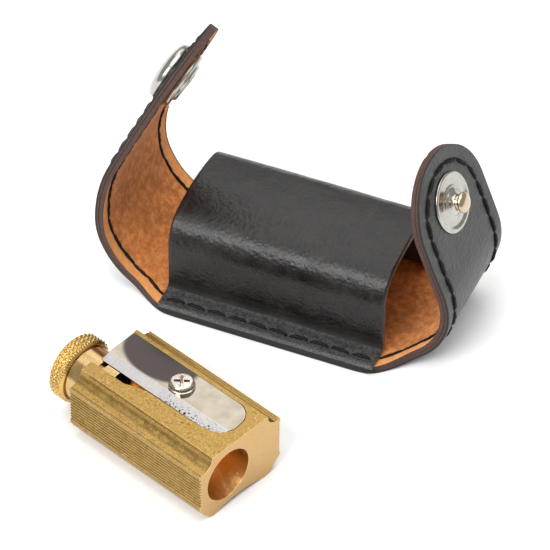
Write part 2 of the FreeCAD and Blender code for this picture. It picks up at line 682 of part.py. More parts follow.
def make_rivet():
    """Rivet behind the stud: thin domed plate on the lining and a shank through the strap."""
    plate, thick, shank = dim("rivet_plate_radius"), dim("rivet_plate_thick"), dim("rivet_radius")
    reach = STRAP_THICK + 1.1
    profile = [(0, -thick), (plate - 0.6, -thick), (plate, -0.08), (plate, 0)]
    profile += [(shank, 0), (shank, reach), (0, reach)]
    return turned("rivet_turned", lines(profile))


def make_cap():
    """Cap: a dome that stands on a narrower foot, open behind, with a tube through the strap."""
    radius, height, tube = dim("snap_radius"), dim("cap_height"), dim("cap_tube_radius")
    wall = 0.3
    reach = STRAP_THICK + 0.5
    foot, rim_low, rim_high = radius - 0.55, 0.45, 0.75
    edges = lines([(foot, 0), (foot, rim_low), (radius, rim_low), (radius, rim_high)], close=False)
    edges.append(arc3((radius, rim_high), (radius * 0.66, height - 0.3), (0.6, height)))
    inside = [(0.6, height), (0, height), (0, height - wall), (tube - wall, height - wall - 0.1)]
    inside += [(tube - wall, -reach), (tube, -reach), (tube, 0), (foot, 0)]
    edges += lines(inside, close=False)
    return turned("cap_turned", edges)


def make_socket():
    """Socket: ring with a rolled rim, a hole for the stud's head and a groove for the spring."""
    radius, height, hole = dim("snap_radius"), dim("socket_height"), dim("socket_hole_radius")
    tube = dim("cap_tube_radius") + dim("fit_gap")
    seat = 0.55
    groove = [(hole, 0.68), (hole + 0.5, 0.68), (hole + 0.5, 1.12), (hole, 1.12)]
    edges = lines([(tube, 0), (radius - 0.15, 0)], close=False)
    edges.append(arc3((radius - 0.15, 0), (radius, 0.4), (radius - 0.35, 0.85)))
    edges.append(arc3((radius - 0.35, 0.85), (radius - 1.2, 0.75), (hole + 1.0, height)))
    rest = [(hole + 1.0, height), (hole + 0.1, height), (hole, height - 0.1), groove[3], groove[2], groove[1]]
    rest += [groove[0], (hole, seat), (tube, seat), (tube, 0)]
    edges += lines(rest, close=False)
    return turned("socket_turned", edges)


def make_spring():
    """Open ring of spring wire that grips the stud's neck."""
    wire = dim("spring_wire_radius")
    ring = doc.addObject("Part::Torus", "spring_ring")
    ring.Radius1 = dim("socket_hole_radius") + 0.06
    ring.Angle3 = 290
    return bind(ring, Radius2="spring_wire_radius")


right, left = FLAPS["right"], FLAPS["left"]
FLIP = Placement(Vector(), Rotation(Vector(1, 0, 0), 180))
on_right_face = right.tab_twist().multiply(right.frame(right.snap_at, 0.0))
on_right_lining = right.tab_twist().multiply(right.frame(right.snap_at, STRAP_THICK))
on_left_face = left.tab_twist().multiply(left.frame(left.snap_at, 0.0))
on_left_lining = left.tab_twist().multiply(left.frame(left.snap_at, STRAP_THICK))
in_groove = Placement(Vector(0, 0, 0.9), Rotation())
node("snap_stud", make_stud(), on_right_face.multiply(FLIP))
node("stud_rivet", make_rivet(), on_right_lining.multiply(FLIP))
node("snap_cap", make_cap(), on_left_face.multiply(FLIP))
node("snap_socket", make_socket(), on_left_lining)
node("socket_spring", make_spring(), on_left_lining.multiply(in_groove))

# --------------------------------------------------------- check and write
doc.recompute()
for obj in doc.Objects:
    if "Invalid" in obj.State or "Error" in obj.State:
        raise RuntimeError("%s failed: %s" % (obj.Name, obj.State))
for name, obj in NODES.items():
    shape = obj.Shape
    if shape.isNull() or not shape.isValid() or not shape.Solids:
        raise RuntimeError("bad shape: " + name)
    shape.exportStep("parts/%s.step" % name)
print("%d sub-parts written" % len(NODES))
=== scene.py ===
"""Looks of a brass wedge sharpener and its open leather snap case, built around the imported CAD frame."""

import math

import bmesh
import bpy
import numpy as np
from mathutils import Matrix, Vector, noise
from mathutils.kdtree import KDTree


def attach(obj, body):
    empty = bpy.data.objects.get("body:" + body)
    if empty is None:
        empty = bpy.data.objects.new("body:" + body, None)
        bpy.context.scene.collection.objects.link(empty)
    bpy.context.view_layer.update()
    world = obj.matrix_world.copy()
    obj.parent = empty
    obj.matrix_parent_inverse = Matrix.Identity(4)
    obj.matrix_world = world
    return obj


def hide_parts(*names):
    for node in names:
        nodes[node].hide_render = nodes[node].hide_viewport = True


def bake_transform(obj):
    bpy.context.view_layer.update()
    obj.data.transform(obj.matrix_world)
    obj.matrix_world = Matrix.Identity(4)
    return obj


MM = 0.001
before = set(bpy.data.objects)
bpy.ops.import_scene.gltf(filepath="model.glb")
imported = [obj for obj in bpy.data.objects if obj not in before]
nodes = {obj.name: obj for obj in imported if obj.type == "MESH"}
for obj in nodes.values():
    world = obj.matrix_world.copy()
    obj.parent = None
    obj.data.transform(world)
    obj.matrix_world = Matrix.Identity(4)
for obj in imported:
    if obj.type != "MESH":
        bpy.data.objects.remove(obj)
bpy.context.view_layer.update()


# ------------------------------------------------------------------ materials
class Shade:
    """A node material built up from small helpers. Coordinates are millimetres in the row frame."""

    def __init__(self, name, metallic=0.0, roughness=0.5, **inputs):
        self.material = bpy.data.materials.new(name)
        self.material.use_nodes = True
        self.tree = self.material.node_tree
        self.shader = self.tree.nodes["Principled BSDF"]
        self.set("Metallic", metallic)
        self.set("Roughness", roughness)
        for key, value in inputs.items():
            self.set(key.replace("_", " "), value)

    def set(self, socket, value):
        """Feed a shader input from a node output, or set it to a plain value."""
        target = self.shader.inputs[socket]
        if isinstance(value, bpy.types.NodeSocket):
            self.tree.links.new(value, target)
        else:
            target.default_value = value
        return self

    def node(self, kind, feeds=(), **settings):
        made = self.tree.nodes.new("ShaderNode" + kind)
        for key, value in settings.items():
            setattr(made, key, value)
        for key, value in dict(feeds).items():
            if isinstance(value, bpy.types.NodeSocket):
                self.tree.links.new(value, made.inputs[key])
            else:
                made.inputs[key].default_value = value
        return made

    def place(self, scale=(1, 1, 1), turn=0.0, attribute=None):
        """Millimetre coordinates, turned about Z and then stretched; or a mesh attribute's."""
        if attribute:
            source = self.node("Attribute", attribute_name=attribute).outputs["Vector"]
            return self.node("Mapping", {"Vector": source, "Scale": scale}).outputs[0]
        source = self.node("TexCoord").outputs["Object"]
        spun = self.node("Mapping", {"Vector": source, "Rotation": (0, 0, math.radians(turn))}).outputs[0]
        return self.node("Mapping", {"Vector": spun, "Scale": [s / MM for s in scale]}).outputs[0]

    def noise(self, where, scale=1.0, detail=3.0, roughness=0.55, distortion=0.0):
        feeds = {"Vector": where, "Scale": scale, "Detail": detail, "Roughness": roughness}
        feeds["Distortion"] = distortion
        return self.node("TexNoise", feeds).outputs["Fac"]

    def cells(self, where, scale=1.0, feature="F1", randomness=1.0):
        feeds = {"Vector": where, "Scale": scale, "Randomness": randomness}
        return self.node("TexVoronoi", feeds, feature=feature).outputs["Distance"]

    def ramp(self, value, low, high, start=0.0, end=1.0):
        feeds = {"Value": value, "From Min": low, "From Max": high, "To Min": start, "To Max": end}
        return self.node("MapRange", feeds, interpolation_type="SMOOTHSTEP").outputs[0]

    def math(self, operation, a, b=0.0):
        made = self.node("Math", operation=operation)
        for socket, value in zip(made.inputs, (a, b)):
            if isinstance(value, bpy.types.NodeSocket):
                self.tree.links.new(value, socket)
            else:
                socket.default_value = value
        return made.outputs[0]

    def split(self, vector):
        return self.node("SeparateXYZ", {"Vector": vector}).outputs

    def mix(self, share, a, b):
        made = self.node("Mix", data_type="RGBA")
        for index, value in ((0, share), (6, a), (7, b)):
            if isinstance(value, bpy.types.NodeSocket):
                self.tree.links.new(value, made.inputs[index])
            else:
                made.inputs[index].default_value = value if index == 0 else (*value, 1.0)
        return made.outputs[2]

    def bump(self, height, distance, strength=1.0, normal=None):
        feeds = {"Height": height, "Distance": distance * MM, "Strength": strength}
        if normal is not None:
            feeds["Normal"] = normal
        return self.node("Bump", feeds).outputs[0]

    def soft_edges(self, radius):
        """Normals rounded over sharp edges, and a mask that is 1 on those edges."""
        rounded = self.node("Bevel", {"Radius": radius * MM}, samples=6).outputs[0]
        true = self.node("NewGeometry").outputs["Normal"]
        dot = self.node("VectorMath", operation="DOT_PRODUCT")
        self.tree.links.new(rounded, dot.inputs[0])
        self.tree.links.new(true, dot.inputs[1])
        return rounded, self.ramp(dot.outputs["Value"], 0.995, 0.93)


def scaled(colour, factor):
    """A colour made darker or lighter, with no channel above 1."""
    return tuple(min(c * factor, 1.0) for c in colour)


def grain_leather(name, leather):
    """Black grain leather: pebbled cells, fine creases, uneven gloss, and a flange painted pale for its sheen
    if it has one.
    """
    shade = Shade(name, IOR=1.52)
    attribute = leather.get("attribute")
    flow = shade.place(attribute=attribute)
    warp = shade.noise(flow, 0.35, 2.0)
    creased = shade.noise(shade.place(scale=leather["crease"], attribute=attribute), 1.0, 4.0, 0.6, 0.6)
    pebble = shade.cells(flow, 1.9, "SMOOTH_F1")
    pores = shade.noise(flow, 2.6, 3.0, 0.6)
    relief = shade.math("ADD", shade.math("MULTIPLY", pebble, 0.6), shade.math("MULTIPLY", creased, 0.5))
    relief = shade.math("ADD", relief, shade.math("MULTIPLY", pores, 0.5))
    shade.set("Normal", shade.bump(relief, leather["depth"], 0.9))
    colour = shade.mix(shade.ramp(warp, 0.3, 0.75), *leather["tint"])
    rough = shade.ramp(shade.math("ADD", creased, warp), 0.6, 1.4, *leather["gloss"])
    if "flange" in leather:
        # the sewn flange is matt and painted pale grey, a painted sheen standing in for the light it
        # reflects, and the heel above it never shines
        top = leather["flange"]
        height = shade.split(shade.place())[2]
        painted_sheen = shade.mix(shade.ramp(pores, 0.35, 0.65), (0.020, 0.0195, 0.0195), (0.056, 0.055, 0.054))
        colour = shade.mix(shade.ramp(height, top + 0.15, top), colour, painted_sheen)
        rough = shade.math("MAXIMUM", rough, shade.ramp(height, top + 2.2, top + 1.2, 0.0, 0.75))
    shade.set("Base Color", colour).set("Roughness", rough)
    shade.set("Specular IOR Level", leather["shine"])
    return shade.material


def cut_edge(name, attribute):
    """Cut edge of the strap: reddish brown fibre under a thin black finish."""
    shade = Shade(name, roughness=0.72)
    run, _, depth = shade.split(shade.place(attribute=attribute))[:3]
    fibre = shade.noise(shade.place(scale=(1.6, 1, 2.2), attribute=attribute), 1.8, 4.0, 0.7)
    colour = shade.mix(shade.ramp(fibre, 0.25, 0.85), (0.045, 0.020, 0.015), (0.098, 0.048, 0.035))
    to_left, to_right = shade.ramp(run, -1.5, 0.5), shade.ramp(run, RIGHT_RUN + 1.5, RIGHT_RUN - 0.5)
    under_sleeve = shade.math("MULTIPLY", to_left, to_right)
    finish = shade.math("SUBTRACT", shade.ramp(depth, 0.22, 0.42), under_sleeve)
    shade.set("Base Color", shade.mix(shade.math("MAXIMUM", finish, 0.0), (0.006, 0.006, 0.006), colour))
    shade.set("Normal", shade.bump(fibre, 0.05))
    return shade.material


def suede(name, attribute):
    """Napped orange-brown suede, blotchy, with a lighter hem outside the seam."""
    shade = Shade(name, roughness=0.92, Sheen_Weight=0.35, Sheen_Roughness=0.45)
    shade.set("Sheen Tint", (0.95, 0.62, 0.42, 1.0)).set("Specular IOR Level", 0.2)
    flow = shade.place(attribute=attribute)
    blotch = shade.noise(flow, 0.28, 3.0, 0.6, 0.4)
    mottle = shade.noise(flow, 0.85, 5.0, 0.68)
    fibre = shade.noise(shade.place(scale=(2.2, 1.0, 1.0), attribute=attribute), 5.0, 3.0, 0.7, 1.2)
    colour = shade.mix(shade.ramp(mottle, 0.32, 0.68), (0.50, 0.155, 0.034), (0.82, 0.315, 0.095))
    colour = shade.mix(shade.ramp(blotch, 0.42, 0.75, 0.0, 0.70), colour, (0.38, 0.130, 0.036))
    hem = shade.node("Attribute", attribute_name="hem").outputs["Fac"]
    colour = shade.mix(shade.math("MULTIPLY", shade.ramp(hem, 2.2, 1.6), 0.55), colour, (0.98, 0.45, 0.15))
    flecks = shade.ramp(shade.math("ADD", fibre, shade.math("MULTIPLY", mottle, 0.5)), 0.82, 1.0)
    shade.set("Base Color", shade.mix(shade.math("MULTIPLY", flecks, 0.65), colour, (1.0, 0.62, 0.30)))
    height = shade.math("ADD", shade.math("MULTIPLY", mottle, 0.8), fibre)
    shade.set("Normal", shade.bump(height, 0.10, 0.9))
    return shade.material


def metal(name, colour, roughness, edge_radius=0.06, edge_wear_and_highlight=None, streak=None, speck=None, turn=0.0,
          cut=None):
    """Metal with rounded edges lightened by wear and by a painted highlight, drawn streaks, pits and grit,
    uneven gloss and cut faces.
    """
    shade = Shade(name, metallic=1.0)
    normal, edge = shade.soft_edges(edge_radius)
    where = shade.place(turn=turn)
    cloud = shade.noise(where, 0.9, 4.0, 0.65)
    base = shade.mix(shade.ramp(cloud, 0.25, 0.8), scaled(colour, 0.80), colour)
    height = shade.math("MULTIPLY", cloud, 0.25)
    rough = shade.ramp(cloud, 0.3, 0.75, roughness * 0.85, roughness * 1.2)
    if streak:
        lines = shade.noise(shade.place(scale=streak, turn=turn), 1.0, 3.0, 0.7)
        base = shade.mix(shade.ramp(lines, 0.3, 0.8, 0.0, 0.45), base, scaled(colour, 0.62))
        height = shade.math("ADD", height, shade.math("MULTIPLY", lines, 0.6))
    if speck:
        scale, share = speck
        pits = shade.ramp(shade.noise(where, scale, 2.0, 0.5), 0.62, 0.74, 0.0, share)
        base = shade.mix(pits, base, scaled(colour, 0.35))
        rough = shade.math("ADD", rough, shade.math("MULTIPLY", pits, 0.3))
        height = shade.math("SUBTRACT", height, shade.math("MULTIPLY", pits, 0.8))
        grit = shade.noise(where, 4.2, 2.0, 0.6)
        base = shade.mix(shade.ramp(grit, 0.56, 0.72, 0.0, 0.55), base, scaled(colour, 1.75))
        base = shade.mix(shade.ramp(grit, 0.46, 0.30, 0.0, 0.60), base, scaled(colour, 0.45))
        height = shade.math("ADD", height, shade.math("MULTIPLY", grit, 0.8))
    # cut faces in their own colours; the bore's colour is partly painted light
    for mask, cut_colour_and_painted_light in cut(shade) if cut else ():
        base = shade.mix(mask, base, cut_colour_and_painted_light)
    # painted highlight along the edges: lightened partly for the polish that wear gives them, partly standing
    # in for the highlights light puts on them
    if edge_wear_and_highlight:
        base = shade.mix(shade.math("MULTIPLY", edge, 0.8), base, edge_wear_and_highlight)
    shade.set("Base Color", base).set("Roughness", rough)
    shade.set("Normal", shade.bump(height, 0.02, 0.6, normal))
    return shade.material


def thread_cord():
    """Matt black waxed thread."""
    shade = Shade("thread_black", roughness=0.6, Specular_IOR_Level=0.25)
    strands = shade.noise(shade.place(), 9.0, 3.0, 0.7)
    colour = shade.mix(shade.ramp(strands, 0.3, 0.8), (0.002, 0.002, 0.002), (0.010, 0.010, 0.010))
    shade.set("Base Color", colour)
    shade.set("Normal", shade.bump(strands, 0.05))
    return shade.material


# how the sharpener lies beside the case, and the block's sizes in its own frame
LIE_X, LIE_Y, LIE_TURN = -14.592, -33.356, -20.22
BLOCK_LENGTH, TOP_EDGE_Z = 24.8, 10.95
PENCIL_Y, PENCIL_Z, PENCIL_R, GUIDE_LENGTH, CONE_TILT = -2.36, 5.76, 4.0, 4.2, math.radians(11.0)
BLADE_START, BLADE_EDGE_Y, BLADE_WIDE, BEVEL = 0.2, -1.75, 6.4, 1.6
LIE = Matrix.Translation((LIE_X, LIE_Y, 0)) @ Matrix.Rotation(math.radians(LIE_TURN), 4, "Z")
# the same points in the row frame turned back by the lie angle, which is what place(turn=-LIE_TURN) gives
ROW_TO_BLOCK = Matrix.Rotation(math.radians(-LIE_TURN), 3, "Z")
FRONT_X, BORE_Y = (ROW_TO_BLOCK @ (LIE @ Vector((BLOCK_LENGTH, PENCIL_Y, 0)))).xy
BLADE_REAR, BLADE_EDGE = (ROW_TO_BLOCK @ (LIE @ Vector((BLADE_START, BLADE_EDGE_Y, 0)))).xy

# the strap attribute counts the run down along the left flap, and up from this along the right one
RIGHT_RUN = 80.0
STRAP = {
    "attribute": "strap", "crease": (0.5, 0.9, 1.0), "gloss": (0.38, 0.50),
    "depth": 0.120, "shine": 0.70, "tint": ((0.014, 0.013, 0.013), (0.034, 0.033, 0.032)),
}
SLEEVE = {
    "crease": (0.6, 0.9, 0.9), "gloss": (0.27, 0.42), "flange": 2.25,
    "depth": 0.100, "shine": 0.38, "tint": ((0.004, 0.003, 0.003), (0.015, 0.013, 0.011)),
}
black_strap = grain_leather("black_leather_strap", STRAP)
black_sleeve = grain_leather("black_leather_sleeve", SLEEVE)
strap_edge = cut_edge("leather_cut_edge", "strap")
suede_face = suede("suede_lining", "strap")
thread = thread_cord()


def cut_faces_and_bore_light(shade):
    """Masks and colours of the block's milled front face and bored cone, in the sharpener's own frame; the
    cone's bare brass is painted far brighter as painted light.
    """
    x, y, z = shade.split(shade.place(turn=-LIE_TURN))[:3]
    behind = shade.math("SUBTRACT", FRONT_X, x)
    slope = shade.math("MULTIPLY", behind, math.tan(CONE_TILT))
    off_y = shade.math("POWER", shade.math("SUBTRACT", y, BORE_Y), 2.0)
    off_z = shade.math("SUBTRACT", z, shade.math("ADD", slope, PENCIL_Z))
    off_z = shade.math("POWER", off_z, 2.0)
    from_axis = shade.math("SQRT", shade.math("ADD", off_y, off_z))
    narrowing = shade.math("MAXIMUM", shade.math("SUBTRACT", behind, GUIDE_LENGTH), 0.0)
    past = shade.math("ADD", from_axis, shade.math("MULTIPLY", narrowing, math.tan(CONE_TILT)))
    bore_painted_light = shade.ramp(past, PENCIL_R + 0.20, PENCIL_R + 0.14)
    bore_painted_light = shade.math("MULTIPLY", bore_painted_light, shade.ramp(z, TOP_EDGE_Z, TOP_EDGE_Z - 0.05))
    # painted light: the bore's bare brass is painted far brighter than the skin, standing in for the light
    # bounced round inside the cone
    return (bore_painted_light, (0.98, 0.62, 0.24)), (shade.ramp(behind, 0.06, 0.02), (0.52, 0.33, 0.138))


brass_block = metal(
    "brass_block", (0.41, 0.258, 0.078), 0.32, 0.10, (0.98, 0.72, 0.33), streak=(0.05, 2.2, 2.2),
    speck=(2.2, 0.8), turn=-LIE_TURN, cut=cut_faces_and_bore_light,
)
brass_turned = metal(
    "brass_turned", (0.64, 0.44, 0.20), 0.2, 0.05, (0.95, 0.78, 0.5), streak=(6.0, 0.4, 0.4),
    turn=-LIE_TURN,
)
brass_knurled = metal(
    "brass_knurled", (0.70, 0.46, 0.15), 0.26, 0.03, (0.98, 0.76, 0.38), turn=-LIE_TURN
)
nickel = metal("nickel_plate", (0.56, 0.51, 0.44), 0.13, 0.05, (0.97, 0.95, 0.9), speck=(3.0, 0.3))
snap_silver = metal("snap_silver", (0.50, 0.49, 0.45), 0.2, 0.04, (0.98, 0.97, 0.95))
snap_warm = metal("snap_warm", (0.66, 0.52, 0.38), 0.16, 0.04)
spring_wire = metal("spring_wire", (0.6, 0.6, 0.6), 0.2)


def blade_finish():
    """Polished flat with a painted dark reflection behind the screw, pale ground bevel, chips along the
    cutting edge.
    """
    shade = Shade("blade_steel", metallic=1.0)
    normal, _ = shade.soft_edges(0.03)
    where = shade.place(turn=-LIE_TURN)
    along, across = shade.split(where)[:2]
    # distances from the rear end and from the cutting edge, in the sharpener's own frame
    forward = shade.math("SUBTRACT", along, BLADE_REAR)
    inward = shade.math("SUBTRACT", across, BLADE_EDGE)
    bevel = shade.ramp(inward, BEVEL + 0.15, BEVEL - 0.25)
    wash = shade.noise(where, 0.35, 2.0, 0.5)
    grind = shade.noise(shade.place(scale=(3.0, 0.25, 1.0), turn=-LIE_TURN), 2.0, 3.0, 0.7)
    flat = shade.mix(shade.ramp(wash, 0.3, 0.7), (0.35, 0.305, 0.24), (0.43, 0.385, 0.31))
    # the painted dark reflection is an ellipse, half off the blade's back edge
    reflection_at, reflection_half = (6.0, 0.9 * BLADE_WIDE), (6.5, 0.68 * BLADE_WIDE)
    squares = []
    for distance, centre, half in zip((forward, inward), reflection_at, reflection_half):
        share = shade.math("DIVIDE", shade.math("SUBTRACT", distance, centre), half)
        squares.append(shade.math("POWER", share, 2.0))
    # painted reflection: inside the ellipse the flat is darkened to near black, standing in for a dark thing
    # mirrored in the polish
    painted_reflection = shade.ramp(shade.math("ADD", *squares), 1.10, 0.80)
    flat = shade.mix(painted_reflection, flat, (0.072, 0.060, 0.057))
    ground = shade.mix(shade.ramp(grind, 0.3, 0.7), (0.40, 0.40, 0.41), (0.52, 0.52, 0.53))
    colour = shade.mix(shade.math("MULTIPLY", bevel, 0.75), flat, ground)
    near = shade.math("MULTIPLY", shade.ramp(inward, 2.6, 0.2), shade.ramp(forward, 6.0, 13.0))
    chips = shade.noise(where, 4.2, 3.0, 0.6)
    spots = shade.ramp(shade.math("ADD", chips, shade.math("MULTIPLY", near, 0.20)), 0.74, 0.79)
    shade.set("Base Color", shade.mix(spots, colour, (0.03, 0.028, 0.035)))
    rough = shade.math("ADD", shade.math("MULTIPLY", bevel, 0.22), shade.ramp(wash, 0.3, 0.8, 0.09, 0.14))
    shade.set("Roughness", shade.math("ADD", rough, shade.math("MULTIPLY", spots, 0.4)))
    shade.set("Normal", shade.bump(spots, -0.015, 0.5, normal))
    return shade.material


# --------------------------------------------------------------- mesh helpers
def mesh_piece(name, points, faces, materials, slots=None):
    """A smooth closed mesh object from points in millimetres, its faces turned outward."""
    mesh = bpy.data.meshes.new(name)
    mesh.from_pydata([tuple(p) for p in np.asarray(points) * MM], [], [tuple(f) for f in faces])
    for material in materials:
        mesh.materials.append(material)
    if slots is not None:
        mesh.polygons.foreach_set("material_index", slots)
    mesh.polygons.foreach_set("use_smooth", [True] * len(faces))
    mesh.update()
    # a closed mesh whose faces point inward has a negative volume
    if sum(face.center.dot(face.normal) * face.area for face in mesh.polygons) < 0:
        mesh.flip_normals()
    piece = bpy.data.objects.new(name, mesh)
    bpy.context.scene.collection.objects.link(piece)
    return piece


def grid_faces(rows, columns, closed=False):
    """Quads of a grid whose points are stored row by row."""
    faces = []
    for i in range(rows - 1):
        for j in range(columns if closed else columns - 1):
            k = (j + 1) % columns
            faces.append((i * columns + j, i * columns + k, (i + 1) * columns + k, (i + 1) * columns + j))
    return faces


def lathe(name, profile, matrix, materials, segments=72, wobble=None, slots=None):
    """A piece turned about the matrix's Z from (radius, height); all in millimetres. Open ends are closed."""
    points = []
    for radius, height in profile:
        for k in range(segments):
            angle = 2 * math.pi * k / segments
            r = radius if wobble is None else radius + wobble(radius, height, angle)
            points.append(matrix @ Vector((r * math.cos(angle), r * math.sin(angle), height)))
    faces = grid_faces(len(profile), segments, closed=True)
    index = None if slots is None else [slots[i] for i in range(len(profile) - 1) for _ in range(segments)]
    if tuple(profile[0]) != tuple(profile[-1]):
        faces += [tuple(range(segments))[::-1], tuple(range(len(points) - segments, len(points)))]
        index = index and index + [slots[0], slots[-1]]
    return mesh_piece(name, points, faces, materials, index)


def split_sharp(piece, degrees):
    """Smooth shading with creases over sharp angles."""
    piece.data.set_sharp_from_angle(angle=math.radians(degrees))


def rounded(profile, radius, steps=3):
    """Round every inner corner of a (radius, height) polyline."""
    out = [profile[0]]
    for a, b, c in zip(profile, profile[1:], profile[2:]):
        a, b, c = Vector(a), Vector(b), Vector(c)
        u, v = a - b, c - b
        cut = min(radius, u.length * 0.45, v.length * 0.45)
        p, q = b + u.normalized() * cut, b + v.normalized() * cut
        for k in range(steps + 1):
            t = k / steps
            out.append(tuple(p * (1 - t) ** 2 + b * 2 * t * (1 - t) + q * t ** 2))
    out.append(profile[-1])
    return out


def smooth(value, low, high):
    """0 below low, 1 above high, and a smooth step between."""
    share = min(max((value - low) / (high - low), 0.0), 1.0)
    return share * share * (3 - 2 * share)


# ------------------------------------------------------------------ the strap
LEATHER, LINING = 0.7, 0.5
STRAP_THICK = LEATHER + LINING
STRAP_HALF = 13.4
BEND_START = 16.5
SEAM_INSET = 2.1
SNAP_HOLE_R = 2.26
# the flaps stand this far behind the middle of the sleeve
SHIFT_Y = 0.9


class Flap:
    """Side view of a flap, the same as the CAD's, with its slight twist spread over the bend."""

    def __init__(self, side, sign, radii, bends, straight, waist, tab, splits, twist, snap_offset):
        self.side, self.sign, self.radii = side, sign, radii
        self.bends = tuple(math.radians(b) for b in bends)
        first = radii[0] * self.bends[0]
        self.stops = (first, first + radii[1] * self.bends[1])
        self.length = self.stops[1] + straight
        self.waist, self.tab, self.splits, self.twist = waist, tab, splits, math.radians(twist)
        self.tip_at = self.length - tab
        self.snap_at = self.tip_at + snap_offset

    def angle(self, run):
        if run <= self.stops[0]:
            return max(run, 0.0) / self.radii[0]
        return self.bends[0] + (min(run, self.stops[1]) - self.stops[0]) / self.radii[1]

    def profile(self, run, depth=0.0):
        x, z, start_angle, start = BEND_START, 0.0, 0.0, 0.0
        for radius, stop in zip(self.radii, self.stops):
            end = min(max(run, start), stop)
            end_angle = start_angle + (end - start) / radius
            x += radius * (math.sin(end_angle) - math.sin(start_angle))
            z += radius * (math.cos(start_angle) - math.cos(end_angle))
            start_angle, start = end_angle, stop
            if run <= stop:
                break
        extra = run - self.stops[1] if run > self.stops[1] else min(run, 0.0)
        slope = self.angle(run)
        return (
            x + extra * math.cos(slope) - depth * math.sin(slope),
            z + extra * math.sin(slope) + depth * math.cos(slope),
        )

    def half_width(self, run):
        if run > self.tip_at:
            return math.sqrt(max(self.tab ** 2 - (run - self.tip_at) ** 2, 0.0))
        narrowed = STRAP_HALF + (self.waist - STRAP_HALF) * smooth(run, -2, 6)
        return narrowed + (self.tab - self.waist) * smooth(run, 11, self.tip_at - 4)

    def spin(self, run):
        """The share of the twist that a run has, as a rotation."""
        share = smooth(run, self.splits[0], self.tip_at - 5.0)
        return Matrix.Rotation(-self.twist * share, 3, "Z")

    def turned(self, point, run):
        """The twist about a vertical line through the tab's fold."""
        x, _ = self.profile(self.splits[1], STRAP_THICK / 2)
        pivot = Vector((self.sign * x, SHIFT_Y, 0))
        return pivot + self.spin(run) @ (point - pivot)

    def place(self, run, across, depth):
        """Point on the flap, in millimetres."""
        x, z = self.profile(run, depth)
        y = SHIFT_Y * min(max(run / 12, 0.0), 1.0) + across
        return self.turned(Vector((self.sign * x, y, z)), run)

    def frame(self, run, depth):
        """Matrix on the tab: local Z points out of the face, away from the lining."""
        slope = self.angle(run)
        along = Vector((self.sign * math.cos(slope), 0, math.sin(slope)))
        out = Vector((self.sign * math.sin(slope), 0, -math.cos(slope)))
        along, out = self.spin(run) @ along, self.spin(run) @ out
        across = out.cross(along)
        matrix = Matrix((along, across, out)).transposed().to_4x4()
        matrix.translation = self.place(run, 0.0, depth)
        return matrix


RIGHT = Flap("right", 1, (8.9, 11.0), (44.0, 68.0), 16.8, 9.2, 9.25, (7.0, 17.2), 4.0, 1.4)
LEFT = Flap("left", -1, (11.1, 21.1), (88.5, 27.0), 22.1, 11.0, 8.7, (8.5, 19.0), 3.2, 0.0)


def strap_rows(flap):
    """Runs of the mesh rows: coarse under the sleeve, fine in the bends, by angle round the tip."""
    rows = list(np.linspace(-BEND_START, -1.0, 10)) + list(np.arange(-0.6, flap.tip_at - 0.2, 0.4))
    rows += [flap.tip_at + flap.tab * math.sin(a) for a in np.linspace(0, math.pi / 2, 26)]
    return rows


def seam_pull(flap, run, across):
    """Depth of the groove that the seam pulls into the strap at a point."""
    if run < flap.tip_at:
        from_seam = abs(across) - (flap.half_width(run) - SEAM_INSET)
    else:
        from_seam = math.hypot(run - flap.tip_at, across) - (flap.tab - SEAM_INSET)
    return 0.14 * math.exp(-((from_seam / 0.5) ** 2))


def layer_mesh(flap, near, far):
    """Points, faces and per-point strap data of one whole layer, from its face's depth to its back's."""
    rows = strap_rows(flap)
    outward = 1 if near < far else -1
    count, lip = 44, 0.16 if near < far else 0.22
    ring, data, is_edge = [], [], []
    for run in rows:
        half = max(flap.half_width(run), 0.02)
        soft = min(lip, half * 0.5)
        loop = []
        for k in range(count + 1):
            loop.append((-(half - soft) + 2 * (half - soft) * k / count, near, False))
        for a in (0.5, 1.0, 1.4):
            depth = near + (soft - soft * math.cos(a)) * 0.9
            loop.append((half - soft + soft * math.sin(a), depth, depth > near + 0.03))
        loop += [(half, near + (far - near) * t, True) for t in (0.45, 0.75, 1.0)]
        other_side = [(-across, depth, edge) for across, depth, edge in reversed(loop[count + 1:])]
        loop += [(half * t, far, True) for t in (0.5, 0.0, -0.5)] + other_side
        strap_run = run + RIGHT_RUN if flap is RIGHT else -run
        for across, depth, edge in loop:
            where = depth
            if not edge and abs(depth - near) < 1e-6:
                bulge = noise.noise(Vector((run * 0.12, across * 0.12, 3.0 + near))) * 0.10
                where = depth + (seam_pull(flap, run, across) + bulge) * outward
            ring.append(flap.place(run, across, where))
            data.append((strap_run, across, depth, half - abs(across)))
            is_edge.append(edge)
    columns = len(loop)
    points = np.array([tuple(p) for p in ring])
    faces = grid_faces(len(rows), columns, closed=True)
    return rows, columns, points, faces, np.array(data), np.array(is_edge)


def vertex_normals(points, faces):
    """Area-weighted normals of a quad mesh."""
    f = np.array(faces)
    n = np.cross(points[f[:, 2]] - points[f[:, 0]], points[f[:, 3]] - points[f[:, 1]])
    total = np.zeros_like(points)
    for k in range(4):
        np.add.at(total, f[:, k], n)
    length = np.linalg.norm(total, axis=1)
    length[length < 1e-12] = 1.0
    return total / length[:, None]


def hinge_span(flap, index):
    """Where a stretch of strap bends for its joint: from one run to another, as points in metres."""
    if index == 0:
        ends = (-0.3, 3.4)
    else:
        split = flap.splits[index - 1]
        ends = (split - 2.2, split + 2.2)
    points = [flap.profile(run, STRAP_THICK / 2) for run in ends]
    return [(flap.sign * x * MM, 0.0, z * MM) for x, z in points]


def flap_bodies(flap):
    """The two bodies that each stretch of the strap joins."""
    names = ["case"] + [flap.side + part for part in ("_flap_lower", "_flap_upper", "_flap_tab")]
    return list(zip(names, names[1:]))


def cut_runs(flap):
    """Runs at which the strap is split into three stretches, one per joint."""
    return [-BEND_START, 4.6, (flap.splits[0] + flap.splits[1]) / 2, flap.length]


